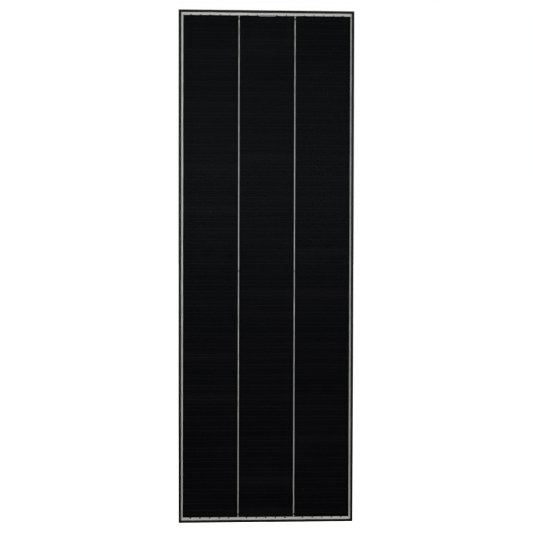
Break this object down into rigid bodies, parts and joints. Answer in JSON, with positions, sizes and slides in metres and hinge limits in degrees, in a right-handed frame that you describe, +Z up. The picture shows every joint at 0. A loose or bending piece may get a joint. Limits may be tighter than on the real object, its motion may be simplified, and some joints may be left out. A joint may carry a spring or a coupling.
{
  "type": "framed solar panel",
  "caption": "Tall slim rigid solar panel: black anodised frame, front glass, columns of shingled black cells on a white back sheet, and a rear junction box with a hinged lid.",
  "frame": {"origin": "centre of the plane of the frame's rear flanges, where a rail or bracket meets the panel", "axes": "+Z up along the panel's length, towards the end with the junction box; +Y out of the back; the glass faces -Y; +X to the right as seen from the front"},
  "size_m": [0.51, 0.03, 1.49],
  "materials": {
    "front_glass": "clear low-iron solar glass",
    "encapsulant": "clear cured encapsulant film",
    "solar_cell": "black monocrystalline silicon, anti-reflection coated, with fine printed fingers",
    "end_tab": "flat tinned copper darkened to suit the black panel",
    "ribbon": "tinned copper ribbon",
    "insulation": "white polyester film",
    "backsheet": "white laminated back sheet",
    "serial_label": "blank identification film",
    "rating_plate": "blank silver-grey film",
    "sealant": "silicone bead",
    "frame": "black anodised extrusion",
    "corner_key": "mill finish",
    "box_plastic": "black moulded plastic",
    "lid_plastic": "black moulded plastic, fine texture",
    "adhesive_pad": "white silicone adhesive",
    "rubber": "black sealing rubber",
    "hinge_pin": "plain steel pin",
    "terminal": "tinned copper plate",
    "diode": "moulded diode body"
  },
  "bodies": {
    "panel": {"front_glass": "front_glass", "front_encapsulant": "encapsulant", "rear_encapsulant": "encapsulant", "cell_string_left_upper": "solar_cell", "cell_string_left_lower": "solar_cell", "cell_string_middle_upper": "solar_cell", "cell_string_middle_lower": "solar_cell", "cell_string_right_upper": "solar_cell", "cell_string_right_lower": "solar_cell", "end_tabs_left_top": "end_tab", "end_tabs_left_bottom": "end_tab", "end_tabs_middle_top": "end_tab", "end_tabs_middle_bottom": "end_tab", "end_tabs_right_top": "end_tab", "end_tabs_right_bottom": "end_tab", "top_bus_ribbon": "ribbon", "bottom_bus_ribbon": "ribbon", "mid_tap_ribbon": "ribbon", "top_lead_ribbon": "ribbon", "middle_lead_ribbon": "ribbon", "bottom_lead_ribbon": "ribbon", "middle_lead_insulation": "insulation", "bottom_lead_insulation": "insulation", "backsheet": "backsheet", "serial_label": "serial_label", "rating_plate": "rating_plate", "edge_sealant": "sealant", "frame_rail_left": "frame", "frame_rail_right": "frame", "frame_rail_top": "frame", "frame_rail_bottom": "frame", "corner_key_top_left": "corner_key", "corner_key_top_right": "corner_key", "corner_key_bottom_left": "corner_key", "corner_key_bottom_right": "corner_key", "junction_box_base": "box_plastic", "gland_body_left": "box_plastic", "gland_body_right": "box_plastic", "gland_nut_left": "box_plastic", "gland_nut_right": "box_plastic", "junction_box_pad": "adhesive_pad", "gland_seal_left": "rubber", "gland_seal_right": "rubber", "hinge_pin": "hinge_pin", "top_terminal": "terminal", "middle_terminal": "terminal", "bottom_terminal": "terminal", "bypass_diode_left": "diode", "bypass_diode_right": "diode"},
    "lid": {"junction_box_lid": "lid_plastic", "junction_box_seal": "rubber"}
  },
  "joints": [
    {"name": "lid_hinge", "type": "hinge", "parent": "panel", "child": "lid", "pos_m": [0, -0.0066, 0.6645], "axis": [1, 0, 0], "range_deg": [0, 110]}
  ]
}
